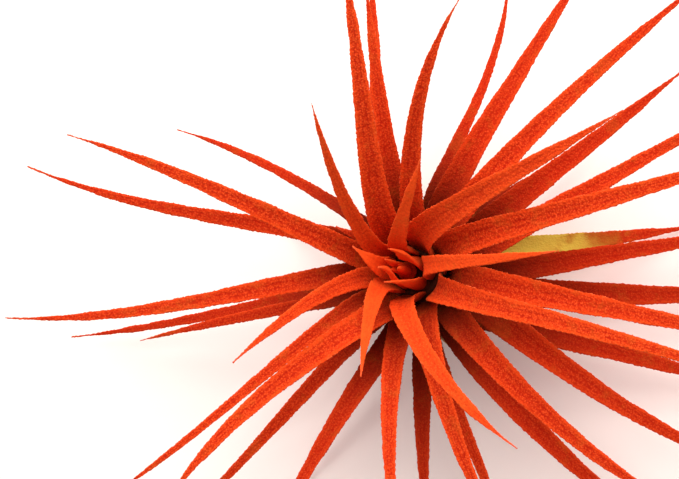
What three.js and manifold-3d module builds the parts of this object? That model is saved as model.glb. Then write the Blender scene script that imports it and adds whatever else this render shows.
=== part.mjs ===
// A sky plant: a bare air plant with no pot, resting upright on its lowest leaves.
// A short stem carries fifty-one narrow, channelled leaves in a golden-angle spiral round a heart
// of young leaves, with three dry old leaves and a few wiry roots under them.
// Millimetres, +Z up along the stem, origin at the middle of the stem's flat foot.
import * as THREE from "three";
import { mergeVertices } from "three/addons/utils/BufferGeometryUtils.js";
import Module from "manifold-3d";

// The spiral: each leaf stands a golden angle on from the one inside it.
const GOLDEN_ANGLE = 137.508;
const FIRST_LEAF_TURN = 258;

// The crown is the rounded top of the stem; below it the side widens slowly.
const CROWN_LEAVES = 12;
const CROWN_TOP = 20;
const CROWN_STEP_DOWN = 0.35;
const CROWN_STEP_OUT = 0.21;
const INNER_ROOT_RADIUS = 2.3;
const SIDE_STEP_DOWN = 0.35;
const SIDE_STEP_OUT = 0.035;
const SEAT_GAP = 0.3;

// A leaf first climbs straight, at its lift, out of the deep middle of the rosette, up to its bend.
const INNER_LIFT = 94;
const CROWN_LIFT_STEP = 1.45;
const SIDE_LIFT_STEP = 0.7;
const LEAST_CLIMB = 0.5;
const BEND_TOP = 26.5;
const CROWN_BEND_STEP = 0.26;
const SIDE_BEND_STEP = 0.5;

// From the bend it arches over, keeping each end's way for a share of its reach.
const BEND_HANDLE = 0.19;
const TIP_HANDLE = 0.36;

// The blade: a shallow channel, thickest along its middle, narrowing to a blunt point.
const BLADE_RINGS = 14;
const BLADE_WIDTH = 4.5;
const TIP_WIDTH = 0.6;
const FULL_WIDTH_REACH = 48;
const LEAST_WIDTH_SHARE = 0.74;
const TAPER = 1.05;
const NECK_LENGTH = 6;
const NECK_PINCH = 0.34;
const ROOT_THICKNESS = 0.95;
const TIP_THICKNESS = 0.65;
const MARGIN_THICKNESS = 0.6;
const ROOT_CHANNEL = 0.36;
const TIP_CHANNEL = 0.12;

// One row a leaf, from the heart outwards: the compass turn, the lift and the length of the line
// to its tip from the stem's axis at the height of its bend, how far the tip droops and veers from
// that line, and the share of the full width.
const LEAVES = [
  { turn: 198, lift: 80, reach: 7, droop: 20, veer: 0, breadth: 0.36 },
  { turn: 96, lift: 64, reach: 5.6, droop: 42, veer: 80, breadth: 0.75 },
  { turn: 152, lift: 38, reach: 8, droop: 36, veer: -10, breadth: 0.80 },
  { turn: 262, lift: 72, reach: 8, droop: 54, veer: -80, breadth: 0.62 },
  { turn: 64, lift: 45, reach: 22, droop: 14, veer: 0, breadth: 0.80 },
  { turn: 267, lift: 50, reach: 25, droop: 12, veer: 8, breadth: 0.80 },
  { turn: 1, lift: 38, reach: 34, droop: 20, veer: 4, breadth: 0.75 },
  { turn: 107, lift: 48, reach: 33, droop: 14, veer: -12, breadth: 0.75 },
  { turn: 309, lift: 32, reach: 39, droop: 18, veer: 18, breadth: 0.95 },
  { turn: 28, lift: 29, reach: 46, droop: 18, veer: 0, breadth: 1.05 },
  { turn: 218, lift: 46, reach: 33, droop: 16, veer: 12, breadth: 0.80 },
  { turn: 342, lift: 24, reach: 64, droop: 18, veer: -2, breadth: 0.80 },
  { turn: 95, lift: 25, reach: 49, droop: 16, veer: 4, breadth: 0.90 },
  { turn: 229, lift: 24, reach: 50, droop: 16, veer: 10, breadth: 0.95 },
  { turn: 15, lift: 14, reach: 62, droop: 14, veer: 4, breadth: 0.95 },
  { turn: 157, lift: 26, reach: 53, droop: 18, veer: 6, breadth: 0.75 },
  { turn: 293, lift: 14, reach: 44, droop: 14, veer: 8, breadth: 0.95 },
  { turn: 70, lift: 31, reach: 44, droop: 14, veer: -18, breadth: 0.90 },
  { turn: 219, lift: 16, reach: 55, droop: 14, veer: -6, breadth: 0.42 },
  { turn: 348, lift: 10, reach: 60, droop: 14, veer: 0, breadth: 1.00 },
  { turn: 146, lift: 28, reach: 13, droop: 12, veer: 0, breadth: 0.65 },
  { turn: 274, lift: 24, reach: 45, droop: 16, veer: 8, breadth: 0.85 },
  { turn: 41, lift: 10, reach: 63, droop: 14, veer: -4, breadth: 0.85 },
  { turn: 187.5, lift: 23, reach: 60, droop: 18, veer: -11, breadth: 0.68 },
  { turn: 320, lift: 10, reach: 55, droop: 14, veer: 14, breadth: 0.95 },
  { turn: 95, lift: 18, reach: 45, droop: 14, veer: 0, breadth: 0.85 },
  { turn: 228, lift: 10, reach: 51, droop: 12, veer: -6, breadth: 0.62 },
  { turn: 24, lift: 12, reach: 60, droop: 12, veer: 4, breadth: 0.85 },
  { turn: 164, lift: 18, reach: 60, droop: 16, veer: -8, breadth: 0.62 },
  { turn: 290, lift: 3, reach: 40, droop: 10, veer: 0, breadth: 0.80 },
  { turn: 58, lift: 9, reach: 56, droop: 14, veer: 2, breadth: 0.95 },
  { turn: 192, lift: -2, reach: 46, droop: 8, veer: 0, breadth: 0.50 },
  { turn: 330, lift: 5, reach: 58, droop: 12, veer: 12, breadth: 1.05 },
  { turn: 98, lift: 5, reach: 48, droop: 10, veer: 0, breadth: 0.75 },
  { turn: 244, lift: 16, reach: 48, droop: 14, veer: 2, breadth: 0.90 },
  { turn: 35, lift: 8, reach: 52, droop: 12, veer: 4, breadth: 1.00 },
  { turn: 161, lift: 4, reach: 20, droop: 8, veer: 0, breadth: 0.60 },
  { turn: 315, lift: 5, reach: 55, droop: 12, veer: 17, breadth: 1.05 },
  { turn: 72, lift: 6, reach: 47, droop: 10, veer: 18, breadth: 0.48 },
  { turn: 216, lift: 0, reach: 36, droop: 8, veer: 0, breadth: 0.70 },
  { turn: 6, lift: 7, reach: 56, droop: 12, veer: 2, breadth: 0.90 },
  { turn: 149, lift: 3, reach: 46, droop: 10, veer: 14, breadth: 0.45 },
  { turn: 271, lift: 3, reach: 40, droop: 8, veer: 2, breadth: 0.95 },
  { turn: 40, lift: -6, reach: 34, droop: 6, veer: 4, breadth: 0.85 },
  { turn: 188, lift: -4, reach: 61, droop: 4, veer: -4, breadth: 0.50 },
  { turn: 340, lift: -5, reach: 54, droop: 6, veer: 0, breadth: 1.05 },
  { turn: 102, lift: -6, reach: 18, droop: 4, veer: 0, breadth: 0.70 },
  { turn: 236, lift: -7.9, reach: 40, droop: 4, veer: 0, breadth: 0.70 },
  { turn: 10.5, lift: -6.9, reach: 42, droop: 4, veer: 0, breadth: 1.10 },
  { turn: 157, lift: -8.6, reach: 30, droop: 4, veer: 0, breadth: 0.70 },
];

const DRY_LEAVES = [
  { turn: 289, lift: -9, reach: 13, droop: 4, veer: 0, breadth: 1.40 },
  { turn: 80, lift: -6, reach: 16, droop: 4, veer: 10, breadth: 1.40 },
  { turn: 205, lift: -5, reach: 21, droop: 2, veer: 8, breadth: 1.30 },
];

// The lowest leaf that is still alive grows beyond the dry ones.
const LOWEST_LEAF = { turn: 356, lift: 0, reach: 60, droop: 4, veer: 0, breadth: 1.10 };

// The heart: tiny young leaves fused at their feet, inside the innermost leaf roots.
const HEART_LEAVES = 5;
const HEART_RADIUS = 0.7;
const HEART_LIFT = 84;
const HEART_REACH = 10.5;
const HEART_STEP = 1.7;
const HEART_BREADTH = 0.34;
const HEART_RINGS = 9;
const HEART_SIDES = 10;
const HEART_FOOT_RADIUS = 1.4;
const HEART_FOOT_HEIGHT = 1.3;
const HEART_LIFTED = 0.4;

// The stem under the leaves, and the wiry roots at its foot.
const STEM_SIDES = 24;
const FOOT_RADIUS = 4.8;
const FOOT_HEIGHT = 1.8;
const ROOTS = 7;
const ROOT_SIDES = 6;
const ROOT_SIZE = 0.9;
const ROOT_REACH = 9;
const ROOT_RISE = 0.7;
const ROOT_SWING = 36;
const ROOT_STEPS = 6;
const ROOT_SINK = 1.5;

const radians = THREE.MathUtils.degToRad;

function direction(turn, lift) {
  const level = Math.cos(radians(lift));
  return new THREE.Vector3(
    level * Math.cos(radians(turn)),
    level * Math.sin(radians(turn)),
    Math.sin(radians(lift)),
  );
}

// Where leaf number `place` (0 is the innermost) leaves the stem, and where it starts to bend over.
function rootOf(place) {
  const onCrown = Math.min(place, CROWN_LEAVES);
  const onSide = Math.max(place - CROWN_LEAVES, 0);
  const height = CROWN_TOP - CROWN_STEP_DOWN * onCrown - SIDE_STEP_DOWN * onSide;
  const bend = BEND_TOP - CROWN_BEND_STEP * onCrown - SIDE_BEND_STEP * onSide;
  return {
    turn: FIRST_LEAF_TURN + GOLDEN_ANGLE * place,
    radius: INNER_ROOT_RADIUS + CROWN_STEP_OUT * onCrown + SIDE_STEP_OUT * onSide,
    height,
    bend: Math.max(bend, height + LEAST_CLIMB),
    lift: INNER_LIFT - CROWN_LIFT_STEP * onCrown - SIDE_LIFT_STEP * onSide,
  };
}

// The leaf's midline: a straight climb from the stem to the bend, then an arch to the tip.
function midline(root, leaf) {
  const start = direction(root.turn, 0).multiplyScalar(root.radius);
  start.z = root.height;
  const rising = direction(root.turn, root.lift);
  const climb = (root.bend - root.height) / rising.z;
  const bend = start.clone().addScaledVector(rising, climb);
  const tip = direction(leaf.turn, leaf.lift).multiplyScalar(leaf.reach);
  tip.z += root.bend;
  const ending = direction(leaf.turn + leaf.veer, leaf.lift - leaf.droop);
  const line = new THREE.CurvePath();
  line.add(new THREE.LineCurve3(start, bend));
  line.add(
    new THREE.CubicBezierCurve3(
      bend,
      bend.clone().addScaledVector(rising, BEND_HANDLE * leaf.reach),
      tip.clone().addScaledVector(ending, -TIP_HANDLE * leaf.reach),
      tip,
    ),
  );
  return line;
}

// The width holds over the climb, apart from the pinched neck, and tapers over the arch.
function bladeWidth(travelled, climb, arch, leaf) {
  const share = THREE.MathUtils.clamp(leaf.reach / FULL_WIDTH_REACH, LEAST_WIDTH_SHARE, 1);
  const left = Math.min((climb + arch - travelled) / arch, 1);
  const neck = Math.max(1 - travelled / NECK_LENGTH, 0);
  const body = BLADE_WIDTH * leaf.breadth * share * Math.max(left, 0) ** TAPER;
  return body * (1 - NECK_PINCH * neck * neck) + TIP_WIDTH;
}

// A closed blade over rings of points: `rings[i].upper` and `rings[i].lower` run from the left
// margin to the right one, and both faces are split along the same diagonals.
function bladeGeometry(rings) {
  const columns = rings[0].upper.length;
  const points = rings.flatMap((ring) => [...ring.upper, ...ring.lower]);
  const faces = [];
  const upper = (ring, column) => ring * 2 * columns + column;
  const lower = (ring, column) => upper(ring, column) + columns;
  const quad = (a, b, c, d) => faces.push(a, b, c, a, c, d);
  const last = rings.length - 1;
  const right = columns - 1;
  for (let i = 0; i < last; i++) {
    for (let j = 0; j < right; j++) {
      quad(upper(i, j), upper(i + 1, j), upper(i + 1, j + 1), upper(i, j + 1));
      quad(lower(i, j), lower(i, j + 1), lower(i + 1, j + 1), lower(i + 1, j));
    }
    quad(lower(i, 0), lower(i + 1, 0), upper(i + 1, 0), upper(i, 0));
    quad(upper(i, right), upper(i + 1, right), lower(i + 1, right), lower(i, right));
  }
  for (let j = 0; j < right; j++) {
    quad(upper(0, j), upper(0, j + 1), lower(0, j + 1), lower(0, j));
    quad(upper(last, j), lower(last, j), lower(last, j + 1), upper(last, j + 1));
  }
  const geometry = new THREE.BufferGeometry().setFromPoints(points);
  geometry.setIndex(faces);
  geometry.computeVertexNormals();
  return geometry;
}

// The leaf's solid: a channelled section carried along the midline. The section's width lies
// level across the leaf, turning from the stem's side at the root to the tip's own heading.
function leafGeometry(root, leaf, ringCount = BLADE_RINGS) {
  const line = midline(root, leaf);
  const [climb, arch] = line.curves.map((curve) => curve.getLength());
  const swing = ((((leaf.turn - root.turn) % 360) + 540) % 360) - 180;
  const rings = [];
  for (let i = 0; i < ringCount; i++) {
    const way = i / (ringCount - 1);
    const along = line.getTangent(way);
    const across = direction(root.turn + swing * way + 90, 0);
    across.addScaledVector(along, -across.dot(along)).normalize();
    const up = new THREE.Vector3().crossVectors(along, across);
    const half = bladeWidth(way * (climb + arch), climb, arch, leaf) / 2;
    const middle = THREE.MathUtils.lerp(ROOT_THICKNESS, TIP_THICKNESS, way) / 2;
    const margin = MARGIN_THICKNESS / 2;
    const rise = half * THREE.MathUtils.lerp(ROOT_CHANNEL, TIP_CHANNEL, way);
    const centre = line.getPoint(way);
    const at = (side, height) =>
      centre.clone().addScaledVector(across, side).addScaledVector(up, height);
    rings.push({
      upper: [at(-half, rise + margin), at(0, middle), at(half, rise + margin)],
      lower: [at(-half, rise - margin), at(0, -middle), at(half, rise - margin)],
    });
  }
  return bladeGeometry(rings);
}

const wasm = await Module();
wasm.setup();

function solidOf(geometry) {
  const bare = geometry.clone();
  bare.deleteAttribute("normal");
  bare.deleteAttribute("uv");
  const merged = mergeVertices(bare);
  return new wasm.Manifold(
    new wasm.Mesh({
      numProp: 3,
      vertProperties: merged.attributes.position.array,
      triVerts: new Uint32Array(merged.index.array),
    }),
  );
}

function fused(geometries) {
  const whole = geometries.map(solidOf).reduce((sum, next) => sum.add(next));
  const mesh = whole.getMesh();
  const geometry = new THREE.BufferGeometry();
  geometry.setAttribute("position", new THREE.BufferAttribute(mesh.vertProperties, 3));
  geometry.setIndex(new THREE.BufferAttribute(mesh.triVerts, 1));
  geometry.computeVertexNormals();
  return geometry;
}

function turned(profile, sides, height) {
  const points = profile.map(([radius, level]) => new THREE.Vector2(radius, level));
  const geometry = new THREE.LatheGeometry(points, sides);
  return geometry.rotateX(Math.PI / 2).translate(0, 0, height);
}

// The stem's body of revolution stays a seat gap and half a blade inside the leaf roots.
function stemBody() {
  const inset = SEAT_GAP + ROOT_THICKNESS / 2;
  const shoulder = rootOf(CROWN_LEAVES);
  const lowest = rootOf(LEAVES.length + DRY_LEAVES.length);
  const profile = [
    [0, 0],
    [FOOT_RADIUS, 0],
    [lowest.radius - inset, FOOT_HEIGHT],
    [shoulder.radius - inset, shoulder.height - inset],
    [INNER_ROOT_RADIUS - inset, CROWN_TOP - inset / 2],
    [0, CROWN_TOP],
  ];
  return turned(profile, STEM_SIDES, 0);
}

// A wiry root: out of the foot's side, then swinging round as it comes down to the surface.
function wiryRoot(place) {
  const turn = GOLDEN_ANGLE * place;
  const swing = place % 2 ? ROOT_SWING : -ROOT_SWING;
  const level = ROOT_SIZE / 2;
  const at = (share, turnedBy, height) => {
    const point = direction(turn + turnedBy, 0).multiplyScalar(share * ROOT_REACH);
    point.z = height;
    return point;
  };
  const start = direction(turn, 0).multiplyScalar(FOOT_RADIUS - ROOT_SINK);
  start.z = level + ROOT_RISE;
  const path = new THREE.CubicBezierCurve3(
    start,
    at(0.8, 0, level + ROOT_RISE),
    at(0.9, swing / 2, level),
    at(1, swing, level),
  );
  const outline = new THREE.Shape(new THREE.EllipseCurve(0, 0, level, level).getPoints(ROOT_SIDES));
  return new THREE.ExtrudeGeometry(outline, {
    extrudePath: path,
    steps: ROOT_STEPS,
    bevelEnabled: false,
    curveSegments: ROOT_SIDES,
  });
}

function heartGeometry() {
  const floor = CROWN_TOP + SEAT_GAP;
  const foot = turned(
    [
      [0, 0],
      [HEART_FOOT_RADIUS, 0],
      [HEART_FOOT_RADIUS / 2, HEART_FOOT_HEIGHT],
      [0, HEART_FOOT_HEIGHT],
    ],
    HEART_SIDES,
    floor,
  );
  const young = Array.from({ length: HEART_LEAVES }, (_, i) => {
    const turn = FIRST_LEAF_TURN - GOLDEN_ANGLE * (i + 1);
    const height = floor + HEART_LIFTED;
    const root = { turn, radius: HEART_RADIUS, height, bend: height + LEAST_CLIMB, lift: 90 };
    const reach = HEART_REACH - HEART_STEP * i;
    const leaf = { turn, lift: HEART_LIFT, reach, droop: 0, veer: 0, breadth: HEART_BREADTH };
    return leafGeometry(root, leaf, HEART_RINGS);
  });
  return fused([foot, ...young]);
}

const plant = new THREE.Group();

function add(name, geometry, material) {
  const mesh = new THREE.Mesh(geometry, material);
  mesh.name = name;
  plant.add(mesh);
}

const leafRed = new THREE.MeshStandardMaterial({ color: 0xe8380f, roughness: 0.85, metalness: 0 });
const dryBrown = new THREE.MeshStandardMaterial({ color: 0x8a6a3c, roughness: 0.95, metalness: 0 });
const stemBrown = new THREE.MeshStandardMaterial({ color: 0x5f4a30, roughness: 0.9, metalness: 0 });

const roots = Array.from({ length: ROOTS }, (_, place) => wiryRoot(place));
add("stem", fused([stemBody(), ...roots]), stemBrown);
add("heart", heartGeometry(), leafRed);

function addLeaf(leaf, place, number) {
  add("leaf_" + String(number).padStart(2, "0"), leafGeometry(rootOf(place), leaf), leafRed);
}

LEAVES.forEach((leaf, place) => addLeaf(leaf, place, place + 1));
addLeaf(LOWEST_LEAF, LEAVES.length + DRY_LEAVES.length, LEAVES.length + 1);

DRY_LEAVES.forEach((leaf, place) => {
  const root = rootOf(LEAVES.length + place);
  add("dry_leaf_" + (place + 1), leafGeometry(root, leaf), dryBrown);
});

export default plant;
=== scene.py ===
"""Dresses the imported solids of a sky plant: furry orange-red leaves, a heart of young leaves, dry old
leaves and a stem under old leaf bases, on a pale floor in soft light.

Lengths in the tables and formulas are millimetres, and meshes are made in metres. A leaf follows the same
midline and width as its solid, and its skin is raised into the small scales that make the plant furry.
"""

import math
from typing import NamedTuple

import bpy
import numpy as np
from mathutils import Matrix, Vector


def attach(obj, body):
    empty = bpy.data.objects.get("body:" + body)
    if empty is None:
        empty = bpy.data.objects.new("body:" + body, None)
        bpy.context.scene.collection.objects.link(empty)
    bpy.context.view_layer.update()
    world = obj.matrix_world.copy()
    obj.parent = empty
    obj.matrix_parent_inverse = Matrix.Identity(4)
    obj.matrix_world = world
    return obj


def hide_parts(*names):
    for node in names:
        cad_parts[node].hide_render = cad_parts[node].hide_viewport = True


bl_info = {
    "name": "Sky Plant",
    "version": (1, 0, 0),
    "blender": (4, 5, 0),
    "location": "3D View > Sidebar > Sky Plant",
    "description": "Dresses a small air plant with furry leaves round its packed solids",
    "category": "Object",
}

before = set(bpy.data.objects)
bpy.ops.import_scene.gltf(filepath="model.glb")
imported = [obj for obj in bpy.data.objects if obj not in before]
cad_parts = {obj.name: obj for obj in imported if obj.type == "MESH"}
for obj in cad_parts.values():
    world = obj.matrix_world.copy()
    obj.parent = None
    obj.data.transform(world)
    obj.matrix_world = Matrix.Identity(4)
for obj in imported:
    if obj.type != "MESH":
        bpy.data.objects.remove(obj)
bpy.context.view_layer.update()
MM = 0.001
BODY = "root"

# The spiral of leaves round the stem, as in the solids: each leaf climbs straight from its root to its
# bend, and arches over from there.
GOLDEN_ANGLE = 137.508
FIRST_LEAF_TURN = 258
CROWN_LEAVES = 12
CROWN_TOP = 20
CROWN_STEP_DOWN = 0.35
CROWN_STEP_OUT = 0.21
INNER_ROOT_RADIUS = 2.3
SIDE_STEP_DOWN = 0.35
SIDE_STEP_OUT = 0.035
SEAT_GAP = 0.3
INNER_LIFT = 94
CROWN_LIFT_STEP = 1.45
SIDE_LIFT_STEP = 0.7
LEAST_CLIMB = 0.5
BEND_TOP = 26.5
CROWN_BEND_STEP = 0.26
SIDE_BEND_STEP = 0.5
BEND_HANDLE = 0.19
TIP_HANDLE = 0.36

# The blade's width and thickness, as in the solids; the neck is fuller here, because the real bases clasp.
BLADE_WIDTH = 4.5
TIP_WIDTH = 0.6
FULL_WIDTH_REACH = 48
LEAST_WIDTH_SHARE = 0.74
TAPER = 1.05
NECK_LENGTH = 6
NECK_PINCH = 0.15
ROOT_THICKNESS = 0.95
TIP_THICKNESS = 0.65
MARGIN_THICKNESS = 0.6
ROOT_CHANNEL = 0.42
TIP_CHANNEL = 0.16

# The blade's section and point: how sharply the channel rises, how the blade thins towards its margins, how
# round those are, and from which share of its length the point slims.
CHANNEL_POWER = 1.6
THINNING_POWER = 1.5
EDGE_ROUNDNESS = 0.32
TIP_START = 0.8
TIP_SLIMMING = 0.7

# The heart of tiny young leaves, the stem and its wiry roots, as in the solids.
HEART_LEAVES = 5
HEART_RADIUS = 0.7
HEART_LIFT = 84
HEART_REACH = 10.5
HEART_STEP = 1.7
HEART_BREADTH = 0.34
HEART_FOOT_RADIUS = 1.4
HEART_FOOT_HEIGHT = 1.3
HEART_LIFTED = 0.4
FOOT_RADIUS = 4.8
FOOT_HEIGHT = 1.8
ROOTS = 7
ROOT_SIZE = 0.9
ROOT_REACH = 9
ROOT_RISE = 0.7
ROOT_HANDLES = (0.8, 0.9)
ROOT_SWING = 36
ROOT_SINK = 1.5

# Old leaf bases on the stem, as relief, and the stem's own unevenness.
FIRST_SHEATH = 8
SHEATH_HEIGHT = 6.5
SHEATH_HALF_WIDTH = 3.0
SHEATH_NARROWING = 0.5
SHEATH_RELIEF = 0.5
SHEATH_ABOVE = 0.5
BARK_UNEVENNESS = 0.05
BARK_WAVELENGTH = 1.6
BARK_SEED = 7

# A root thins over the last part of its way, and is uneven and mostly thinner than its solid.
ROOT_END = 1.02
ROOT_THINNING = 0.35
ROOT_THINNING_POWER = 0.4
ROOT_UNEVENNESS = 0.08
ROOT_WAVELENGTH = 0.9
ROOT_INSET = 0.6
ROOT_SHADE = 0.3

# The scales: how far a dome reaches in its cell, how high the lowest is, the dome height that counts as
# level skin, how much prouder they are at the margins, and how much lower at the tip.
DOME_REACH = 0.72
LOWEST_DOME = 0.55
LEVEL_DOME = 0.4
MARGIN_FUR = 0.8
MARGIN_FUR_POWER = 6
TIP_FUR_LOSS = 0.45

# The slow unevenness of a living leaf's skin.
SKIN_UNEVENNESS = 0.07
SKIN_WAVELENGTH = 5.0

# A dry leaf's curled margins and its veins, which sway a little.
CURL = 0.5
CURL_WAVELENGTH = 7.0
VEIN_HEIGHT = 0.09
VEIN_TURNS = 26
VEIN_SWAY = 0.8
VEIN_SWAY_WAVELENGTH = 6.0
FIRST_VEIN_SEED = 40

# How far out along the arch a leaf is still deep in the rosette, where its base is painted in shade:
# further for each leaf from the heart.
DEEP_FADE = 5
DEEP_FADE_STEP = 0.45

# Over which share of a leaf's length the part that the dye missed goes over into the dyed part.
BARE_FADE = 0.42

# Mesh spacing: the leaves up to the last upper one are finer than the rest.
SKIN_STEP = 0.19
LOWER_SKIN_STEP = 0.27
UPPER_LEAVES = 30
STEM_STEP = 0.26

# How many samples space a line's rows evenly, the least rows, the columns of a blade's upper face for each
# step of half its width, and the least of those.
LINE_SAMPLES = 400
LEAST_ROWS = 6
COLUMNS_FOR_HALF = 2.2
LEAST_COLUMNS = 5

# A root's sides, the grid of the heart's foot and how nearly its dome closes, and the radius from which the
# stem's two ends close to a point.
ROOT_SIDES = 10
HEART_FOOT_ROWS = 14
HEART_FOOT_COLUMNS = 48
HEART_FOOT_CLOSED = 0.98
POLE_RADIUS = 0.4

# Large primes and bit masks that turn a cell's whole numbers into a shuffled share.
CELL_PRIMES = (73856093, 19349663, 83492791)
SALT_PRIME = 7919
FOLD_PRIME = 1274126177
MIXED_BITS = 0x7FFFFFFFFFFF
SHARE_BITS = 0xFFFFFF
CENTRE_SALTS = (1, 2, 3)
VIGOUR_SALT = 4

# Colours that the finishes mix in beside those of the panel.
# Painted light on the young leaves round the heart.
YOUNG_LEAF_LIGHT = (1.0, 0.10, 0.012)
# Painted highlights: glints on the tallest beads, and along the rim.
GLINT = (1.0, 0.19, 0.06)
RIM_GLINT = (1.0, 0.2, 0.06)
# Painted shade on the outer leaves.
OUTER_SHADE_RED = (0.46, 0.014, 0.002)
# Painted shade at the leaves' bases deep in the rosette.
DEEP_SHADE_BROWN = (0.12, 0.011, 0.003)
PALE_TIP = (0.85, 0.16, 0.06)
HALF_DYED = (0.42, 0.1, 0.01)
BARK_RED = (0.22, 0.035, 0.01)
SHEEN_TINT = (1.0, 0.3, 0.08)
WHITE = (1.0, 1.0, 1.0)

# The living leaves' finish, the size of the beads that their scales show as, and how deep the fine relief
# of the finishes looks.
LEAF_FINISH = "furry dyed leaf"
BEAD_SIZE = 0.27
FINE_RELIEF = 0.06
BARK_RELIEF = 0.08


class Leaf(NamedTuple):
    """A leaf's compass turn, lift and reach from the stem to its tip, how far the tip droops and veers from
    that line, its share of the full width, and how far from the root the dye is missing, as a share of its
    length."""

    turn: float
    lift: float
    reach: float
    droop: float
    veer: float
    breadth: float
    bare: float = 0.0


class Root(NamedTuple):
    """Where a leaf leaves the stem: its compass turn, radius and height, the height of its bend, and how
    steeply it climbs to there."""

    turn: float
    radius: float
    height: float
    bend: float
    lift: float


# In the spiral's order, from the heart outwards.
LEAVES = [
    Leaf(198, 80, 7, 20, 0, 0.36),
    Leaf(96, 64, 5.6, 42, 80, 0.75),
    Leaf(152, 38, 8, 36, -10, 0.80),
    Leaf(262, 72, 8, 54, -80, 0.62),
    Leaf(64, 45, 22, 14, 0, 0.80),
    Leaf(267, 50, 25, 12, 8, 0.80),
    Leaf(1, 38, 34, 20, 4, 0.75),
    Leaf(107, 48, 33, 14, -12, 0.75),
    Leaf(309, 32, 39, 18, 18, 0.95),
    Leaf(28, 29, 46, 18, 0, 1.05),
    Leaf(218, 46, 33, 16, 12, 0.80),
    Leaf(342, 24, 64, 18, -2, 0.80),
    Leaf(95, 25, 49, 16, 4, 0.90),
    Leaf(229, 24, 50, 16, 10, 0.95),
    Leaf(15, 14, 62, 14, 4, 0.95),
    Leaf(157, 26, 53, 18, 6, 0.75),
    Leaf(293, 14, 44, 14, 8, 0.95),
    Leaf(70, 31, 44, 14, -18, 0.90),
    Leaf(219, 16, 55, 14, -6, 0.42),
    Leaf(348, 10, 60, 14, 0, 1.00),
    Leaf(146, 28, 13, 12, 0, 0.65),
    Leaf(274, 24, 45, 16, 8, 0.85),
    Leaf(41, 10, 63, 14, -4, 0.85),
    Leaf(187.5, 23, 60, 18, -11, 0.68),
    Leaf(320, 10, 55, 14, 14, 0.95),
    Leaf(95, 18, 45, 14, 0, 0.85),
    Leaf(228, 10, 51, 12, -6, 0.62),
    Leaf(24, 12, 60, 12, 4, 0.85),
    Leaf(164, 18, 60, 16, -8, 0.62),
    Leaf(290, 3, 40, 10, 0, 0.80),
    Leaf(58, 9, 56, 14, 2, 0.95),
    Leaf(192, -2, 46, 8, 0, 0.50),
    Leaf(330, 5, 58, 12, 12, 1.05),
    Leaf(98, 5, 48, 10, 0, 0.75),
    Leaf(244, 16, 48, 14, 2, 0.90),
    Leaf(35, 8, 52, 12, 4, 1.00),
    Leaf(161, 4, 20, 8, 0, 0.60),
    Leaf(315, 5, 55, 12, 17, 1.05),
    Leaf(72, 6, 47, 10, 18, 0.48),
    Leaf(216, 0, 36, 8, 0, 0.70),
    Leaf(6, 7, 56, 12, 2, 0.90),
    Leaf(149, 3, 46, 10, 14, 0.45),
    Leaf(271, 3, 40, 8, 2, 0.95),
    Leaf(40, -6, 34, 6, 4, 0.85, 0.3),
    Leaf(188, -4, 61, 4, -4, 0.50),
    Leaf(340, -5, 54, 6, 0, 1.05),
    Leaf(102, -6, 18, 4, 0, 0.70),
    Leaf(236, -7.9, 40, 4, 0, 0.70),
    Leaf(10.5, -6.9, 42, 4, 0, 1.10, 0.76),
    Leaf(157, -8.6, 30, 4, 0, 0.70),
]

DRY_LEAVES = [
    Leaf(289, -9, 13, 4, 0, 1.40),
    Leaf(80, -6, 16, 4, 10, 1.40),
    Leaf(205, -5, 21, 2, 8, 1.30),
]

# The lowest living leaf grows beyond the dry ones.
LOWEST_LEAF = Leaf(356, 0, 60, 4, 0, 1.10, 0.2)


class LeafSettings(bpy.types.PropertyGroup):
    """The furry skin of the living leaves."""

    scale_spacing: bpy.props.FloatProperty(
        name="Scale Spacing",
        description="Distance between the small raised scales",
        default=0.32 * MM,
        min=0.2 * MM,
        precision=5,
        unit="LENGTH",
    )
    scale_height: bpy.props.FloatProperty(
        name="Scale Height",
        description="How far the scales stand out of the skin",
        default=0.14 * MM,
        min=0.0,
        precision=5,
        unit="LENGTH",
    )
    # The dye is the dark end of the living leaves' blend and the scales its light end: the blend paints shade
    # in the hollows between the scales and down the channel, and highlights on the beads and towards the
    # margins.
    dye: bpy.props.FloatVectorProperty(
        name="Dye",
        description="Colour of the dyed leaf between its scales",
        subtype="COLOR",
        size=3,
        default=(0.40, 0.010, 0.001),
    )
    scales: bpy.props.FloatVectorProperty(
        name="Scales",
        description="Colour of the raised scales",
        subtype="COLOR",
        size=3,
        default=(0.80, 0.060, 0.006),
    )
    undyed: bpy.props.FloatVectorProperty(
        name="Undyed",
        description="Colour of a leaf's base, where the dye didn't reach",
        subtype="COLOR",
        size=3,
        default=(0.66, 0.46, 0.06),
    )


class OldGrowthSettings(bpy.types.PropertyGroup):
    """The dry leaves, the stem and its roots."""

    dry: bpy.props.FloatVectorProperty(
        name="Dry Leaf",
        description="Colour of the dry old leaves",
        subtype="COLOR",
        size=3,
        default=(0.30, 0.15, 0.055),
    )
    bark: bpy.props.FloatVectorProperty(
        name="Stem",
        description="Colour of the old leaf bases on the stem",
        subtype="COLOR",
        size=3,
        default=(0.075, 0.02, 0.007),
    )


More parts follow.
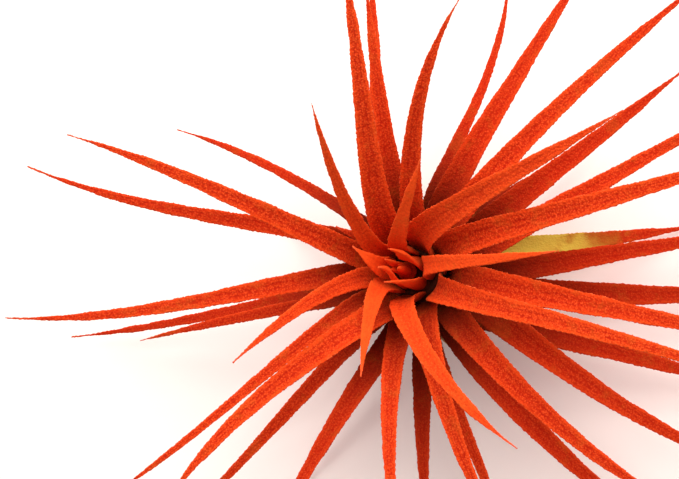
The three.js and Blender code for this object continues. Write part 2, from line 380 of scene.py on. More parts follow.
class StageSettings(bpy.types.PropertyGroup):
    """The floor, the light and the camera."""

    floor: bpy.props.FloatVectorProperty(
        name="Floor",
        description="Colour of the pale floor",
        subtype="COLOR",
        size=3,
        default=(0.95, 0.80, 0.73),
    )
    floor_glow: bpy.props.FloatProperty(
        name="Floor Glow",
        description="Light that the floor gives by itself, as an overexposed backdrop does",
        default=0.13,
        min=0.0,
    )
    key_power: bpy.props.FloatProperty(
        name="Key Light",
        description="Power of the large soft light",
        default=4.5,
        min=0.0,
        unit="POWER",
    )
    fill: bpy.props.FloatProperty(
        name="Fill",
        description="Strength of the even light from all round",
        default=0.38,
        min=0.0,
    )
    camera_distance: bpy.props.FloatProperty(
        name="Camera Distance",
        description="From the lens to the heart of the plant",
        default=0.3,
        unit="LENGTH",
    )


def direction(turn, lift):
    """Unit vector by compass turn and lift above level, both in degrees, for numbers or whole arrays."""
    turn, lift = np.broadcast_arrays(np.radians(turn), np.radians(lift))
    level = np.cos(lift)
    return np.stack([level * np.cos(turn), level * np.sin(turn), np.sin(lift)], axis=-1)


def unit(vectors):
    """The vectors at length 1, along the last axis."""
    return vectors / np.linalg.norm(vectors, axis=-1, keepdims=True)


def root_of(place):
    """Where leaf number `place`, from the heart, leaves the stem: a step down and out for each leaf."""
    on_crown = min(place, CROWN_LEAVES)
    on_side = max(place - CROWN_LEAVES, 0)
    height = CROWN_TOP - CROWN_STEP_DOWN * on_crown - SIDE_STEP_DOWN * on_side
    bend = BEND_TOP - CROWN_BEND_STEP * on_crown - SIDE_BEND_STEP * on_side
    return Root(
        FIRST_LEAF_TURN + GOLDEN_ANGLE * place,
        INNER_ROOT_RADIUS + CROWN_STEP_OUT * on_crown + SIDE_STEP_OUT * on_side,
        height,
        max(bend, height + LEAST_CLIMB),
        INNER_LIFT - CROWN_LIFT_STEP * on_crown - SIDE_LIFT_STEP * on_side,
    )


def curve(handles, samples=LINE_SAMPLES):
    """Points and unit tangents of a cubic curve: the four handles weighted by the cubic powers of the way
    along and the way left."""
    ways = np.linspace(0, 1, samples)[:, None]
    left = 1 - ways
    first, second, third, fourth = (np.asarray(handle, float) for handle in handles)
    points = left**3 * first + 3 * left**2 * ways * second + 3 * left * ways**2 * third + ways**3 * fourth
    tangents = left**2 * (second - first) + 2 * left * ways * (third - second) + ways**2 * (fourth - third)
    return points, unit(tangents)


class Line(NamedTuple):
    """Evenly spaced points of a line, its unit tangents there, and the distance travelled to each."""

    points: np.ndarray
    along: np.ndarray
    travelled: np.ndarray


def evenly(points, tangents, step):
    """A line's points and tangents taken again by distance travelled, about `step` apart."""
    travelled = np.concatenate([[0], np.cumsum(np.linalg.norm(np.diff(points, axis=0), axis=1))])
    stops = np.linspace(0, travelled[-1], max(int(travelled[-1] / step), LEAST_ROWS))
    taken = [
        np.stack([np.interp(stops, travelled, values[:, axis]) for axis in range(3)], axis=-1)
        for values in (points, tangents)
    ]
    return Line(taken[0], unit(taken[1]), stops)


def midline(root, leaf, step):
    """A leaf's line, and the length of its climb: straight up from the stem to the bend at the root's lift,
    then a cubic curve over to the tip's own heading."""
    start = direction(root.turn, 0) * root.radius + [0, 0, root.height]
    rising = direction(root.turn, root.lift)
    climb = (root.bend - root.height) / rising[2]
    bend = start + rising * climb
    tip = direction(leaf.turn, leaf.lift) * leaf.reach + [0, 0, root.bend]
    ending = direction(leaf.turn + leaf.veer, leaf.lift - leaf.droop)
    handles = (
        bend,
        bend + rising * BEND_HANDLE * leaf.reach,
        tip - ending * TIP_HANDLE * leaf.reach,
        tip,
    )
    over, headings = curve(handles)
    up = np.linspace(start, bend, LINE_SAMPLES // 4, endpoint=False)
    points = np.concatenate([up, over])
    tangents = np.concatenate([np.broadcast_to(rising, up.shape), headings])
    return evenly(points, tangents, step), climb


def blade_width(travelled, climb, leaf):
    """Full width along the leaf: level over the climb but for the pinched neck, then a power of the share
    of the arch that is left, plus the tip's own width."""
    share = np.clip(leaf.reach / FULL_WIDTH_REACH, LEAST_WIDTH_SHARE, 1)
    left = np.clip((travelled[-1] - travelled) / (travelled[-1] - climb), 0, 1)
    neck = np.clip(1 - travelled / NECK_LENGTH, 0, None)
    body = BLADE_WIDTH * leaf.breadth * share * left**TAPER
    return body * (1 - NECK_PINCH * neck**2) + TIP_WIDTH


def shuffled(cells, salt):
    """A steady value from 0 to 1 for each whole-number cell: its numbers multiplied by large primes, mixed
    by exclusive or, and folded over twice."""
    first, second, third = (cells[..., axis] * prime for axis, prime in enumerate(CELL_PRIMES))
    mixed = first ^ second ^ third ^ (salt * SALT_PRIME)
    mixed = ((mixed ^ (mixed >> 13)) * FOLD_PRIME) & MIXED_BITS
    return ((mixed ^ (mixed >> 16)) & SHARE_BITS) / (SHARE_BITS + 1)


def scale_domes(points, spacing):
    """Height from 0 to 1 of a skin of small round scales. Each cell of a grid holds one scale at a shuffled
    place, and a point's height is 1 less the squared distance to the nearest scale as a share of its reach,
    times that scale's own shuffled height."""
    places = points / spacing
    home = np.floor(places).astype(np.int64)
    nearest = np.full(points.shape[:-1], np.inf)
    vigour = np.zeros(points.shape[:-1])
    for step in np.ndindex(3, 3, 3):
        cell = home + (np.array(step) - 1)
        centre = cell + np.stack([shuffled(cell, salt) for salt in CENTRE_SALTS], axis=-1)
        apart = np.linalg.norm(places - centre, axis=-1)
        closer = apart < nearest
        nearest = np.where(closer, apart, nearest)
        vigour = np.where(closer, shuffled(cell, VIGOUR_SALT), vigour)
    return np.clip(1 - (nearest / DOME_REACH) ** 2, 0, 1) * (LOWEST_DOME + (1 - LOWEST_DOME) * vigour)


def waves(points, wavelength, seed):
    """Slow uneven values from -1 to 1: three sine waves crossing at seeded headings, averaged."""
    draw = np.random.default_rng(seed)
    headings = unit(draw.normal(size=(3, 3))) * (2 * np.pi / wavelength)
    return np.sin(points @ headings.T + draw.uniform(0, 2 * np.pi, 3)).mean(axis=-1)


def outward(rings):
    """Unit normals of a closed tube of rings, rows by columns: the cross product of the step round a ring
    and the step along the tube, turned over if that mostly points at the rings' own middles."""
    along = np.gradient(rings, axis=0)
    around = np.roll(rings, -1, axis=1) - np.roll(rings, 1, axis=1)
    normals = unit(np.cross(around, along))
    spokes = rings - rings.mean(axis=1, keepdims=True)
    return normals if (normals * spokes).sum() > 0 else -normals


def tube_faces(rows, columns):
    """Triangles of a closed tube of rows by columns, with a fan to a pole at each end: the first pole is
    the point after the grid, and the last pole the one after that."""
    grid = np.arange(rows * columns).reshape(rows, columns)
    beside = np.roll(grid, -1, axis=1)
    near = np.stack([grid[:-1], beside[:-1], beside[1:]], axis=-1).reshape(-1, 3)
    far = np.stack([grid[:-1], beside[1:], grid[1:]], axis=-1).reshape(-1, 3)
    first = np.full(columns, rows * columns)
    start = np.stack([first, beside[0], grid[0]], axis=-1)
    end = np.stack([first + 1, grid[-1], beside[-1]], axis=-1)
    return np.concatenate([near, far, start, end])


def with_poles(values):
    """Grid values, rows by columns, flattened, then the mean of the first row and of the last."""
    flat = values.reshape(-1, *values.shape[2:])
    return np.concatenate([flat, values[:1].mean(axis=1), values[-1:].mean(axis=1)])


class Skin(NamedTuple):
    """Points in millimetres, triangles over them, and named values for each point."""

    points: np.ndarray
    faces: np.ndarray
    marks: dict


def tube_skin(rings, marks):
    """A closed skin over rings of points, with its faces turned outwards: a skin whose signed volume, the
    sum of the triple products of its triangles, is negative has its triangles reversed."""
    points = with_poles(rings)
    faces = tube_faces(*rings.shape[:2])
    a, b, c = (points[faces[:, corner]] - points.mean(axis=0) for corner in range(3))
    if (a * np.cross(b, c)).sum() < 0:
        faces = faces[:, ::-1]
    return Skin(points, faces, {name: with_poles(values) for name, values in marks.items()})


def joined(skins):
    """Several skins as one, with the later ones' triangles counted on from the earlier ones' points."""
    offsets = np.cumsum([0] + [len(skin.points) for skin in skins[:-1]])
    return Skin(
        np.concatenate([skin.points for skin in skins]),
        np.concatenate([skin.faces + offset for skin, offset in zip(skins, offsets)]),
        {name: np.concatenate([skin.marks[name] for skin in skins]) for name in skins[0].marks},
    )


class Blade(NamedTuple):
    """Rings of a blade, rows by columns, with each point's way along from 0 to 1, its place across from -1
    to 1, and how deep in the rosette it lies, from 1 on the climb to 0 out on the arch."""

    rings: np.ndarray
    ways: np.ndarray
    place: np.ndarray
    deep: np.ndarray


def blade_rings(root, leaf, step, fade=DEEP_FADE, curl=0.0, seed=0):
    """A blade over its midline, deep in the rosette until it is `fade` out along the arch.

    Across the blade the place is the cosine of the angle round the section, with twice as many columns on
    the upper face. The middle surface rises as a power of the place towards the margins, and the two faces
    stand off it by the sine's power, so the margins are round. The section lies level across the leaf and
    turns from the stem's side at the root to the tip's own heading. `curl` lifts and sinks the margins by
    slow waves of its seed.
    """
    line, climb = midline(root, leaf, step)
    ways = line.travelled / line.travelled[-1]
    swing = (leaf.turn - root.turn + 180) % 360 - 180
    across = direction(root.turn + swing * ways + 90, 0)
    across = unit(across - (across * line.along).sum(axis=1, keepdims=True) * line.along)
    up = np.cross(line.along, across)
    slim = 1 - TIP_SLIMMING * np.clip((ways - TIP_START) / (1 - TIP_START), 0, 1)
    half = blade_width(line.travelled, climb, leaf) / 2 * slim
    upper = max(int(COLUMNS_FOR_HALF * half.max() / step), LEAST_COLUMNS)
    lower = upper // 2
    angle = np.pi * np.concatenate([np.arange(upper) / upper, 1 + np.arange(lower) / lower])
    place = np.cos(angle)[None, :]
    thick = (ROOT_THICKNESS + (TIP_THICKNESS - ROOT_THICKNESS) * ways) * slim
    margin = np.minimum(MARGIN_THICKNESS, thick)
    thickness = thick[:, None] + (margin - thick)[:, None] * np.abs(place) ** THINNING_POWER
    stand = np.sign(np.sin(angle)) * np.abs(np.sin(angle)) ** (2 * EDGE_ROUNDNESS)
    channel = ROOT_CHANNEL + (TIP_CHANNEL - ROOT_CHANNEL) * ways
    side = half[:, None] * place
    rise = (half * channel)[:, None] * np.abs(place) ** CHANNEL_POWER + thickness / 2 * stand
    rings = line.points[:, None] + across[:, None] * side[..., None] + up[:, None] * rise[..., None]
    if curl:
        rings = rings + up[:, None] * (curl * place**2 * waves(rings, CURL_WAVELENGTH, seed))[..., None]
    deep = np.clip(1 - (line.travelled - climb) / fade, 0, 1)
    shape = rings.shape[:2]
    values = (np.broadcast_to(value, shape) for value in (ways[:, None], place, deep[:, None]))
    return Blade(rings, *values)


def furry_blade(root, leaf, settings, place=0, step=SKIN_STEP):
    """Living leaf number `place`: its blade raised along its normals by the domes of its scales, more at the
    margins, less towards the tip, and by slow waves that leave it slightly uneven."""
    blade = blade_rings(root, leaf, step, DEEP_FADE + DEEP_FADE_STEP * place)
    normals = outward(blade.rings)
    rings = blade.rings + normals * (SKIN_UNEVENNESS * waves(blade.rings, SKIN_WAVELENGTH, place))[..., None]
    domes = scale_domes(rings, settings.scale_spacing / MM)
    edge = np.abs(blade.place)
    prouder = 1 + MARGIN_FUR * edge**MARGIN_FUR_POWER
    height = settings.scale_height / MM * prouder * (1 - TIP_FUR_LOSS * blade.ways)
    rings = rings + normals * (height * (domes - LEVEL_DOME))[..., None]
    bare = np.clip((leaf.bare - blade.ways) / BARE_FADE, 0, 1)
    age = np.full(edge.shape, place / len(LEAVES))
    marks = {"scale": domes, "way": blade.ways, "edge": edge, "bare": bare, "deep": blade.deep, "age": age}
    return tube_skin(rings, marks)


def linked(name, data):
    """A new object of the data, put into the scene."""
    made = bpy.data.objects.new(name, data)
    bpy.context.scene.collection.objects.link(made)
    return made


def mesh_object(name, skin, material):
    """A smooth mesh object of a skin, in metres, with its named values as attributes of its points."""
    mesh = bpy.data.meshes.new(name)
    mesh.from_pydata(skin.points * MM, [], skin.faces)
    mesh.shade_smooth()
    for mark, values in skin.marks.items():
        attribute = mesh.attributes.new(mark, "FLOAT", "POINT")
        attribute.data.foreach_set("value", values.astype(np.float32))
    mesh.materials.append(material)
    return linked(name, mesh)


def placed(made, node):
    """The piece stands for its node, whose solid it hides, and rides with the plant's one body."""
    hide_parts(node)
    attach(made, BODY)


class Value:
    """A shader socket that takes part in sums, so that an expression on it adds its Math nodes."""

    def __init__(self, nodes, socket):
        self.nodes = nodes
        self.socket = socket

    def _math(self, operation, *values):
        return self.nodes.add("ShaderNodeMath", {"operation": operation}, dict(enumerate(values)))

    def __add__(self, other):
        return self._math("ADD", self, other)

    def __radd__(self, other):
        return self._math("ADD", other, self)

    def __sub__(self, other):
        return self._math("SUBTRACT", self, other)

    def __rsub__(self, other):
        return self._math("SUBTRACT", other, self)

    def __mul__(self, other):
        return self._math("MULTIPLY", self, other)

    def __rmul__(self, other):
        return self._math("MULTIPLY", other, self)

    def __pow__(self, other):
        return self._math("POWER", self, other)

    def sine(self):
        """The sine of this value, as an angle in radians."""
        return self._math("SINE", self)


class Nodes:
    """A material and its nodes."""

    # A Mix node has sockets of the same name for each kind of value, so these are told by their number.
    MIX_SHARE = 0
    MIX_FIRST = 6
    MIX_SECOND = 7
    MIX_RESULT = 2

    def __init__(self, name):
        self.material = bpy.data.materials.new(name)
        self.material.use_nodes = True
        self.tree = self.material.node_tree
        self.tree.nodes.clear()

    def add(self, kind, settings, sockets, output=0):
        """A node of any type: its settings first, then the values or links of its sockets, by their names or
        numbers. A colour is given without its alpha. The node's output comes back, if it has one."""
        node = self.tree.nodes.new(kind)
        for name, setting in settings.items():
            setattr(node, name, setting)
        for name, value in sockets.items():
            if isinstance(value, Value):
                self.tree.links.new(value.socket, node.inputs[name])
            elif isinstance(value, tuple):
                node.inputs[name].default_value = (*value, 1)
            else:
                node.inputs[name].default_value = value
        return Value(self, node.outputs[output]) if node.outputs else None

    def mark(self, name):
        """A named value of the mesh's points."""
        return self.add("ShaderNodeAttribute", {"attribute_name": name}, {}, "Fac")

    def place(self):
        """The point's own place in the plant's frame."""
        return self.add("ShaderNodeTexCoord", {}, {}, "Object")

    def noise(self, size, detail, roughness):
        """Uneven values from 0 to 1 whose lumps are about `size` millimetres across."""
        sockets = {"Vector": self.place(), "Scale": 1 / (size * MM), "Detail": detail, "Roughness": roughness}
        return self.add("ShaderNodeTexNoise", {}, sockets)

    def beads(self, size, output):
        """Packed beads about `size` millimetres across: as "Distance" how far a point lies from the middle
        of its bead, as "Color" a random shade that the whole bead shares."""
        sockets = {"Vector": self.place(), "Scale": 1 / (size * MM)}
        return self.add("ShaderNodeTexVoronoi", {}, sockets, output)

    def between(self, value, low, high):
        """The value from `low` to `high` spread smoothly over 0 to 1."""
        sockets = {"Value": value, "From Min": low, "From Max": high}
        return self.add("ShaderNodeMapRange", {"interpolation_type": "SMOOTHSTEP"}, sockets)

    def blend(self, share, first, second):
        """One colour going over into another by a share from 0 to 1."""
        sockets = {self.MIX_SHARE: share, self.MIX_FIRST: first, self.MIX_SECOND: second}
        return self.add("ShaderNodeMix", {"data_type": "RGBA"}, sockets, self.MIX_RESULT)

    def bump(self, height, strength, depth):
        """A normal that leans as a relief of this height does, at most `depth` millimetres deep."""
        sockets = {"Strength": strength, "Distance": depth * MM, "Height": height}
        return self.add("ShaderNodeBump", {}, sockets)

    def finish(self, sockets):
        """The material, with a principled shader of these sockets as its surface."""
        shader = self.add("ShaderNodeBsdfPrincipled", {}, sockets)
        self.add("ShaderNodeOutputMaterial", {}, {"Surface": shader})
        return self.material


def leaf_finish(settings):
    """Living leaf: darker between the scales and down the middle of the channel, as painted shade, and
    lighter on the beads of the scales and towards the margins, as painted highlight and partly the pale fur
    of the margins; lighter too on faint lengthwise ribs, in patches and in a fine grain, with painted
    highlights as pale glints on the tallest beads and the rim. Young leaves are smoother, and as painted
    light lighter and more orange; the outer leaves are a duller red, and all but the inner ones dark brown at
    their bases deep in the rosette, both as painted shade. A base that the dye missed is yellow, and goes
    over into the dyed part through brown."""
    nodes = Nodes(LEAF_FINISH)
    marks = ("scale", "way", "edge", "bare", "deep", "age")
    scale, way, edge, bare, deep, age = (nodes.mark(name) for name in marks)
    patches = nodes.between(nodes.noise(size=3.5, detail=3, roughness=0.6), 0.35, 0.68)
    grain = nodes.noise(size=0.2, detail=2, roughness=0.7)

    grown = nodes.between(age, 0.0, 0.25) * 0.5 + 0.5
    # Painted light: the young leaves round the heart are lighter and more orange.
    young = 1 - grown
    bead = nodes.between(nodes.beads(BEAD_SIZE, "Distance"), 0.8, 0.1) * grown
    shade = nodes.beads(BEAD_SIZE, "Color")
    # The scales' beads and domes are lighter than the hollows between them: painted highlight on the crests
    # and painted shade in the hollows, along with the beads' own random shades.
    raised = bead * (0.27 + 0.16 * shade) + scale * 0.3
    # Lighter towards the margins, darker down the middle: painted shade of the channel's fold, and partly the
    # pale fur of the margins.
    margin = nodes.between(edge, 0.35, 0.95)
    ribs = (edge * 15 + patches * 3).sine() * 0.09
    # The share from the dye to the scales' colour: painted light and shade on the crests, the channel and the
    # young leaves, and the leaf's own ribs, patches and grain.
    light_and_grain = nodes.between(raised + young + ribs + margin * 0.38 + patches * 0.08 + grain * 0.22, 0.0, 0.9)
    colour = nodes.blend(light_and_grain, tuple(settings.dye), tuple(settings.scales))

    # Painted highlights: pale glints on the tallest beads.
    tops = nodes.between(bead * (0.6 + 0.4 * shade) + grain * 0.3, 0.6, 0.95)
    # Painted highlight along the rim of the margins.
    rim = nodes.between(edge, 0.86, 1.0) * nodes.between(raised, 0.2, 0.6)
    # Painted shade: deep in the rosette the bases of all but the inner leaves go dark brown.
    deep_shade = nodes.between(deep, 0.0, 1.0) * nodes.between(age, 0.15, 0.55)
    layers = (
        (young, 0.8, YOUNG_LEAF_LIGHT),
        (tops, 0.16, GLINT),
        (rim, 0.5, RIM_GLINT),
        # Painted shade: the outer leaves are a duller, darker red.
        (nodes.between(age, 0.2, 0.9), 0.5, OUTER_SHADE_RED),
        (deep_shade, 0.92, DEEP_SHADE_BROWN),
        (nodes.between(way, 0.9, 1.0), 0.3, PALE_TIP),
    )
    for mask, most, tint in layers:
        colour = nodes.blend(mask * most, colour, tint)

    uneven = bare + (patches - 0.5) * 0.3 + (grain - 0.5) * 0.2
    colour = nodes.blend(nodes.between(uneven, 0.05, 0.4), colour, HALF_DYED)
    colour = nodes.blend(nodes.between(uneven, 0.3, 0.95), colour, tuple(settings.undyed))
    fine = nodes.noise(size=0.14, detail=3, roughness=0.65) * 0.5 + bead
    return nodes.finish(
        {
            "Base Color": colour,
            "Roughness": nodes.between(scale, 0, 1) * -0.12 + 0.86,
            "Normal": nodes.bump(fine, 0.6, FINE_RELIEF),
            "Specular IOR Level": 0.08,
            "Sheen Weight": 0.15,
            "Sheen Roughness": 0.4,
            "Sheen Tint": SHEEN_TINT,
        }
    )


def dry_finish(settings):
    """Dry leaf: brown and patchy, paler on its lengthwise veins and at the margins, dark at the base."""
    nodes = Nodes("dry papery leaf")
    scale, way, edge = (nodes.mark(name) for name in ("scale", "way", "edge"))
    dry = tuple(settings.dry)
    dark = tuple(0.4 * channel for channel in dry)
    pale = tuple(min(1.7 * channel + 0.03, 1) for channel in dry)
    patches = nodes.between(nodes.noise(size=2.2, detail=4, roughness=0.65), 0.3, 0.7)
    fine = nodes.noise(size=0.3, detail=4, roughness=0.6)
    colour = nodes.blend(patches, dark, dry)
    colour = nodes.blend(nodes.between(scale + edge**3 * 0.4, 0.3, 1.2), colour, pale)
    colour = nodes.blend(nodes.between(way, 0.3, 0.0), colour, dark)
    return nodes.finish(
        {
            "Base Color": colour,
            "Roughness": 0.9,
            "Normal": nodes.bump(fine, 0.6, FINE_RELIEF),
            "Specular IOR Level": 0.2,
        }
    )


def bark_finish(settings):
    """Stem: dark brown old bases, paler on their raised lips and redder in patches, with fine dust."""
    nodes = Nodes("old leaf bases")
    scale = nodes.mark("scale")
    bark = tuple(settings.bark)
    pale = tuple(min(2.6 * channel + 0.02, 1) for channel in bark)
    dust = nodes.noise(size=0.5, detail=5, roughness=0.7)
    patches = nodes.noise(size=3, detail=3, roughness=0.6)
    colour = nodes.blend(nodes.between(scale * 0.7 + dust * 0.6, 0.4, 1.1), bark, pale)
    colour = nodes.blend(nodes.between(patches, 0.5, 0.75) * 0.4, colour, BARK_RED)
    return nodes.finish(
        {
            "Base Color": colour,
            "Roughness": 0.92,
            "Normal": nodes.bump(dust, 0.8, BARK_RELIEF),
            "Specular IOR Level": 0.2,
        }
    )


class SKYPLANT_OT_leaves(bpy.types.Operator):
    """Make the furry living leaves in place of their solids"""

    bl_idname = "sky_plant.leaves"
    bl_label = "Leaves"

    def execute(self, context):
        settings = context.scene.sky_plant_leaf
        material = leaf_finish(settings)
        leaves = [*enumerate(LEAVES), (len(LEAVES) + len(DRY_LEAVES), LOWEST_LEAF)]
        for number, (place, leaf) in enumerate(leaves, start=1):
            step = SKIN_STEP if place < UPPER_LEAVES else LOWER_SKIN_STEP
            skin = furry_blade(root_of(place), leaf, settings, place, step)
            made = mesh_object(f"furry_leaf_{number:02d}", skin, material)
            placed(made, f"leaf_{number:02d}")
        return {"FINISHED"}


class SKYPLANT_OT_heart(bpy.types.Operator):
    """Make the tuft of tiny young leaves in the middle"""

    bl_idname = "sky_plant.heart"
    bl_label = "Heart"

    def execute(self, context):
        settings = context.scene.sky_plant_leaf
        material = bpy.data.materials.get(LEAF_FINISH) or leaf_finish(settings)
        floor = CROWN_TOP + SEAT_GAP
        skins = []
        for place in range(HEART_LEAVES):
            turn = FIRST_LEAF_TURN - GOLDEN_ANGLE * (place + 1)
            height = floor + HEART_LIFTED
            root = Root(turn, HEART_RADIUS, height, height + LEAST_CLIMB, 90)
            leaf = Leaf(turn, HEART_LIFT, HEART_REACH - HEART_STEP * place, 0, 0, HEART_BREADTH)
            skins.append(furry_blade(root, leaf, settings))
        skins.append(self.foot(floor, settings))
        placed(mesh_object("young_leaves", joined(skins), material), "heart")
        return {"FINISHED"}

    def foot(self, floor, settings):
        """The young leaves' shared foot: a dome whose radius, as a share of its foot's, is the root of 1 less
        the square of its height, as a share of its top's."""
        height = np.linspace(0, HEART_FOOT_CLOSED, HEART_FOOT_ROWS)
        radius = HEART_FOOT_RADIUS * np.sqrt(1 - height**2)
        turns = np.linspace(0, 360, HEART_FOOT_COLUMNS, endpoint=False)
        rings = direction(turns[None, :], 0) * radius[:, None, None]
        rings = rings + [0, 0, floor] + [0, 0, HEART_FOOT_HEIGHT] * height[:, None, None]
        domes = scale_domes(rings, settings.scale_spacing / MM)
        rings = rings + outward(rings) * (settings.scale_height / MM * (domes - LEVEL_DOME))[..., None]
        flat = np.zeros(domes.shape)
        marks = {"scale": domes, "way": flat, "edge": flat, "bare": flat, "deep": flat + 1, "age": flat}
        return tube_skin(rings, marks)


class SKYPLANT_OT_dry_leaves(bpy.types.Operator):
    """Make the dry old leaves at the foot"""

    bl_idname = "sky_plant.dry_leaves"
    bl_label = "Dry Leaves"

    def execute(self, context):
        material = dry_finish(context.scene.sky_plant_old)
        for place, leaf in enumerate(DRY_LEAVES):
            root = root_of(len(LEAVES) + place)
            blade = blade_rings(root, leaf, SKIN_STEP, curl=CURL, seed=place)
            edge = np.abs(blade.place)
            sway = VEIN_SWAY * waves(blade.rings, VEIN_SWAY_WAVELENGTH, FIRST_VEIN_SEED + place)
            veins = 0.5 + 0.5 * np.cos(blade.place * VEIN_TURNS + sway)
            rings = blade.rings + outward(blade.rings) * (VEIN_HEIGHT * veins * (1 - edge**4))[..., None]
            marks = {"scale": veins, "way": blade.ways, "edge": edge}
            made = mesh_object(f"papery_leaf_{place + 1}", tube_skin(rings, marks), material)
            placed(made, f"dry_leaf_{place + 1}")
        return {"FINISHED"}


class SKYPLANT_OT_stem(bpy.types.Operator):
    """Make the stem under its old leaf bases, with its wiry roots"""

    bl_idname = "sky_plant.stem"
    bl_label = "Stem and Roots"

    def execute(self, context):
        material = bark_finish(context.scene.sky_plant_old)
        skins = [self.stem(), *(self.wiry_root(place) for place in range(ROOTS))]
        placed(mesh_object("stem_with_roots", joined(skins), material), "stem")
        return {"FINISHED"}

    def stem(self):
        """A turned stem with old leaf bases as relief. Each base is a shield under a leaf's root: widest and
        proudest at its top lip, narrowing and sinking over its height, and a point takes the proudest."""
        inset = SEAT_GAP + ROOT_THICKNESS / 2
        shoulder = root_of(CROWN_LEAVES)
        lowest = root_of(len(LEAVES) + len(DRY_LEAVES))
        corners = np.array(
            [
                [POLE_RADIUS, 0],
                [FOOT_RADIUS, 0],
                [lowest.radius - inset, FOOT_HEIGHT],
                [shoulder.radius - inset, shoulder.height - inset],
                [INNER_ROOT_RADIUS - inset, CROWN_TOP - inset / 2],
                [POLE_RADIUS, CROWN_TOP],
            ]
        )
        travelled = np.concatenate([[0], np.cumsum(np.linalg.norm(np.diff(corners, axis=0), axis=1))])
        steps = np.linspace(0, travelled[-1], int(travelled[-1] / STEM_STEP))
        radius = np.interp(steps, travelled, corners[:, 0])[:, None]
        height = np.interp(steps, travelled, corners[:, 1])[:, None]
        turns = np.linspace(0, 360, int(2 * np.pi * FOOT_RADIUS / STEM_STEP), endpoint=False)[None, :]
        relief = np.zeros((len(steps), turns.shape[1]))
        for place in range(FIRST_SHEATH, len(LEAVES) + len(DRY_LEAVES) + 1):
            root = root_of(place)
            aside = radius * np.radians((turns - root.turn + 180) % 360 - 180)
            below = (root.height + SHEATH_ABOVE - height) / SHEATH_HEIGHT
            width = SHEATH_HALF_WIDTH * (1 - SHEATH_NARROWING * np.clip(below, 0, 1) ** 2)
            shield = np.sqrt(np.clip(1 - (aside / width) ** 2, 0, 1)) * (1 - below)
            relief = np.maximum(relief, np.where((below >= 0) & (below <= 1), shield, 0))
        rings = direction(turns, 0) * radius[..., None] + np.array([0, 0, 1]) * height[..., None]
        raised = SHEATH_RELIEF * relief + BARK_UNEVENNESS * waves(rings, BARK_WAVELENGTH, BARK_SEED)
        raised = raised * np.clip(height / FOOT_HEIGHT, 0, 1)
        rings = rings + direction(turns, 0) * raised[..., None]
        return tube_skin(rings, {"scale": relief})

    def wiry_root(self, place):
        """A root as an uneven tube along its curve, as in the solids, tapering over its last third."""
        turn = GOLDEN_ANGLE * place
        swing = ROOT_SWING if place % 2 else -ROOT_SWING
        near, far = ROOT_HANDLES
        level = ROOT_SIZE / 2
        rise = level + ROOT_RISE
        handles = (
            direction(turn, 0) * (FOOT_RADIUS - ROOT_SINK) + [0, 0, rise],
            direction(turn, 0) * near * ROOT_REACH + [0, 0, rise],
            direction(turn + swing / 2, 0) * far * ROOT_REACH + [0, 0, level],
            direction(turn + swing, 0) * ROOT_REACH + [0, 0, level],
        )
        line = evenly(*curve(handles), SKIN_STEP)
        ways = line.travelled / line.travelled[-1]
        across = unit(np.cross(line.along, [0, 0, 1]))
        up = np.cross(across, line.along)
        angle = 2 * np.pi * np.arange(ROOT_SIDES) / ROOT_SIDES
        thin = level * np.clip((ROOT_END - ways) / ROOT_THINNING, 0, 1) ** ROOT_THINNING_POWER
        ring = across[:, None] * np.cos(angle)[:, None] + up[:, None] * np.sin(angle)[:, None]
        rings = line.points[:, None] + ring * thin[:, None, None]
        uneven = waves(rings, ROOT_WAVELENGTH, place) - ROOT_INSET
        rings = rings + ring * (ROOT_UNEVENNESS * uneven)[..., None]
        return tube_skin(rings, {"scale": np.full(rings.shape[:2], ROOT_SHADE)})


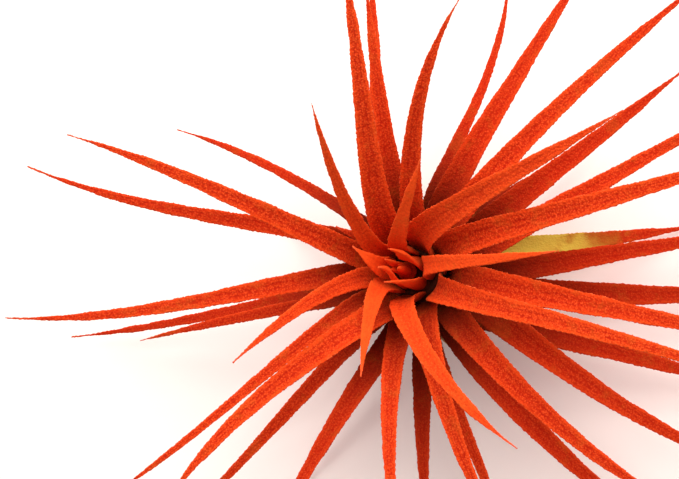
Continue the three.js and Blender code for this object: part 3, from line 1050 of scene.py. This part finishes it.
class SKYPLANT_OT_stage(bpy.types.Operator):
    """Lay the pale floor, set the soft lights and place the camera"""

    bl_idname = "sky_plant.stage"
    bl_label = "Stage"

    # The camera looks down on the heart from this lift and turn, in degrees. The heart's height and the
    # sensor's width are millimetres, and its place, the picture's size and the focal length are pixels.
    LIFT = 74
    TURN = -18
    HEART_HEIGHT = 31
    HEART_PIXEL = (390, 266)
    PICTURE = (679, 479)
    FOCAL_PIXELS = 2100
    SENSOR = 36

    # The nearest that the camera sees, half the floor's side, the light's width and its place, in metres.
    NEAREST = 0.01
    FLOOR_HALF = 3.0
    KEY_SIZE = 0.6
    KEY_PLACE = (0.035, 0.31, 0.41)

    def execute(self, context):
        settings = context.scene.sky_plant_stage
        self.camera(context, settings.camera_distance)
        self.floor(settings)
        self.lights(context, settings)
        return {"FINISHED"}

    def camera(self, context, distance):
        """The camera, its distance back from the heart and then aside and up by the heart's own pixel."""
        back = Vector(direction(self.TURN, self.LIFT))
        up = (Vector((0, 1, 0)) - back * back.y).normalized()
        right = up.cross(back)
        aside = (self.HEART_PIXEL[0] - self.PICTURE[0] / 2) / self.FOCAL_PIXELS * distance
        below = (self.HEART_PIXEL[1] - self.PICTURE[1] / 2) / self.FOCAL_PIXELS * distance
        heart = Vector((0, 0, self.HEART_HEIGHT * MM))
        data = bpy.data.cameras.new("camera")
        data.sensor_width = self.SENSOR
        data.lens = self.FOCAL_PIXELS / self.PICTURE[0] * self.SENSOR
        data.clip_start = self.NEAREST
        place = heart + back * distance - right * aside + up * below
        turned = Matrix((right, up, back)).transposed().to_4x4()
        made = linked("camera", data)
        made.matrix_world = Matrix.Translation(place) @ turned
        context.scene.camera = made

    def floor(self, settings):
        """A square floor at the plant's foot, which glows a little."""
        half = self.FLOOR_HALF
        corners = [(-half, -half, 0), (half, -half, 0), (half, half, 0), (-half, half, 0)]
        mesh = bpy.data.meshes.new("floor")
        mesh.from_pydata(corners, [], [(0, 1, 2, 3)])
        material = Nodes("pale floor").finish(
            {
                "Base Color": tuple(settings.floor),
                "Roughness": 0.9,
                "Specular IOR Level": 0.1,
                "Emission Color": WHITE,
                "Emission Strength": settings.floor_glow,
            }
        )
        mesh.materials.append(material)
        linked("floor", mesh)

    def lights(self, context, settings):
        """Even light from all round, and a large soft disk of light that faces the plant's foot."""
        world = bpy.data.worlds.new("even light")
        world.use_nodes = True
        background = world.node_tree.nodes["Background"]
        background.inputs["Color"].default_value = (*WHITE, 1)
        background.inputs["Strength"].default_value = settings.fill
        context.scene.world = world
        data = bpy.data.lights.new("key", "AREA")
        data.shape = "DISK"
        data.size = self.KEY_SIZE
        data.energy = settings.key_power
        place = Vector(self.KEY_PLACE)
        turned = place.to_track_quat("Z", "Y").to_matrix().to_4x4()
        linked("key", data).matrix_world = Matrix.Translation(place) @ turned
        context.scene.view_settings.view_transform = "Standard"
        context.scene.view_settings.look = "None"


SETTINGS = {
    "sky_plant_leaf": LeafSettings,
    "sky_plant_old": OldGrowthSettings,
    "sky_plant_stage": StageSettings,
}

STEPS = (
    SKYPLANT_OT_leaves,
    SKYPLANT_OT_heart,
    SKYPLANT_OT_dry_leaves,
    SKYPLANT_OT_stem,
    SKYPLANT_OT_stage,
)


class SKYPLANT_PT_panel(bpy.types.Panel):
    """Lists the plant's sizes, colours and steps"""

    bl_label = "Sky Plant"
    bl_idname = "SKYPLANT_PT_panel"
    bl_space_type = "VIEW_3D"
    bl_region_type = "UI"
    bl_category = "Sky Plant"

    def draw(self, context):
        for group in SETTINGS:
            settings = getattr(context.scene, group)
            for name in settings.bl_rna.properties.keys():
                if name not in ("rna_type", "name"):
                    self.layout.prop(settings, name)
        for step in STEPS:
            self.layout.operator(step.bl_idname)


CLASSES = (*SETTINGS.values(), *STEPS, SKYPLANT_PT_panel)


def register():
    """Makes the classes known, and gives the scene each group of settings."""
    for made in CLASSES:
        bpy.utils.register_class(made)
    for name, group in SETTINGS.items():
        setattr(bpy.types.Scene, name, bpy.props.PointerProperty(type=group))


def unregister():
    """Takes back what register did."""
    for name in SETTINGS:
        delattr(bpy.types.Scene, name)
    for made in reversed(CLASSES):
        bpy.utils.unregister_class(made)


def main():
    """Runs the steps in order."""
    register()
    for step in STEPS:
        group, name = step.bl_idname.split(".")
        getattr(getattr(bpy.ops, group), name)()


if __name__ == "__main__":
    main()
